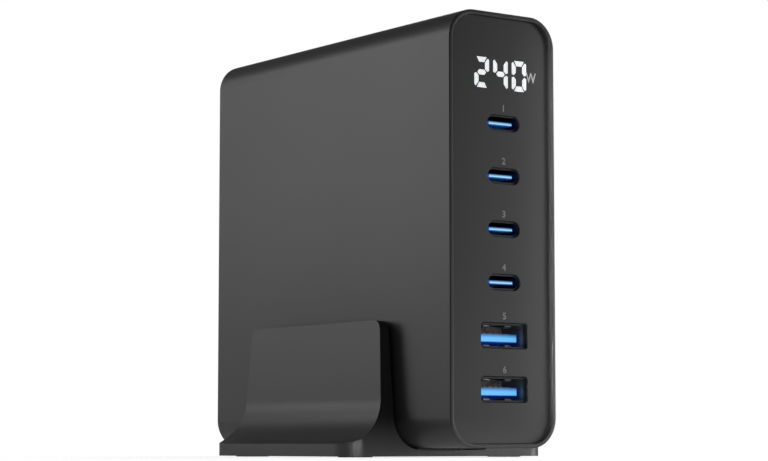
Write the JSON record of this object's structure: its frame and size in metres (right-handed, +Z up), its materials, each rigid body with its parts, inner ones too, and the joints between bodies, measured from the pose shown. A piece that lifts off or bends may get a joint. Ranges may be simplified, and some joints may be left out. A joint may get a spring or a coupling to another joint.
{
  "type": "desktop gan charger",
  "caption": "Slim upright multi-socket desktop charger with a lit readout, seated in a flared moulded cradle.",
  "frame": {"origin": "on the table surface, under the middle of the charger and its cradle", "axes": "+X to the right seen from the front, -Y towards the front with the sockets, +Z up"},
  "size_m": [0.059, 0.099, 0.1021],
  "materials": {
    "body_plastic": "fine matt moulded plastic",
    "panel_plastic": "fine matt moulded plastic",
    "cradle_plastic": "fine matt moulded plastic",
    "light_guide": "lit milky plastic",
    "socket_steel": "bright sheet",
    "blue_moulding": "lit blue plastic",
    "gold_plate": "polished plating",
    "board": "solder resist",
    "black_moulding": "fine matt",
    "film": "smooth film",
    "aluminium_sheet": "plain rolled",
    "ferrite": "sintered",
    "winding": "taped winding",
    "copper_winding": "enamelled wire",
    "ring_ferrite": "painted ferrite",
    "capacitor_film": "moulded box",
    "capacitor_sleeve": "shrink sleeve",
    "component_black": "moulded epoxy",
    "fuse_body": "moulded",
    "screw_steel": "plated",
    "pin_metal": "nickel plated",
    "rubber_pad": "matt silicone"
  },
  "bodies": {
    "root": {"housing": "body_plastic", "front_panel": "panel_plastic", "display_light_guide": "light_guide", "display_board": "board", "display_header": "black_moulding", "usb_c_contacts": "gold_plate", "usb_a_contacts": "gold_plate", "socket_board": "board", "socket_board_screws": "screw_steel", "main_board": "board", "insulating_film": "film", "heat_spreader": "aluminium_sheet", "transformer_core": "ferrite", "transformer_winding": "winding", "boost_choke_core": "ferrite", "boost_choke_winding": "copper_winding", "line_choke_rings": "ring_ferrite", "line_choke_bases": "black_moulding", "line_filter_capacitor": "capacitor_film", "bulk_capacitors": "capacitor_sleeve", "bridge_rectifier": "component_black", "heat_sink": "aluminium_sheet", "power_transistors": "component_black", "fuse": "fuse_body", "output_inductors": "component_black", "output_capacitors": "aluminium_sheet", "rear_cover": "panel_plastic", "ac_inlet": "black_moulding", "ac_pins": "pin_metal", "cradle": "cradle_plastic", "cradle_rests": "rubber_pad", "cradle_feet": "rubber_pad", "usb_c_shell_1": "socket_steel", "usb_c_tongue_1": "blue_moulding", "usb_c_shell_2": "socket_steel", "usb_c_tongue_2": "blue_moulding", "usb_c_shell_3": "socket_steel", "usb_c_tongue_3": "blue_moulding", "usb_c_shell_4": "socket_steel", "usb_c_tongue_4": "blue_moulding", "usb_a_shell_1": "socket_steel", "usb_a_tongue_1": "blue_moulding", "usb_a_shell_2": "socket_steel", "usb_a_tongue_2": "blue_moulding"}
  },
  "joints": []
}
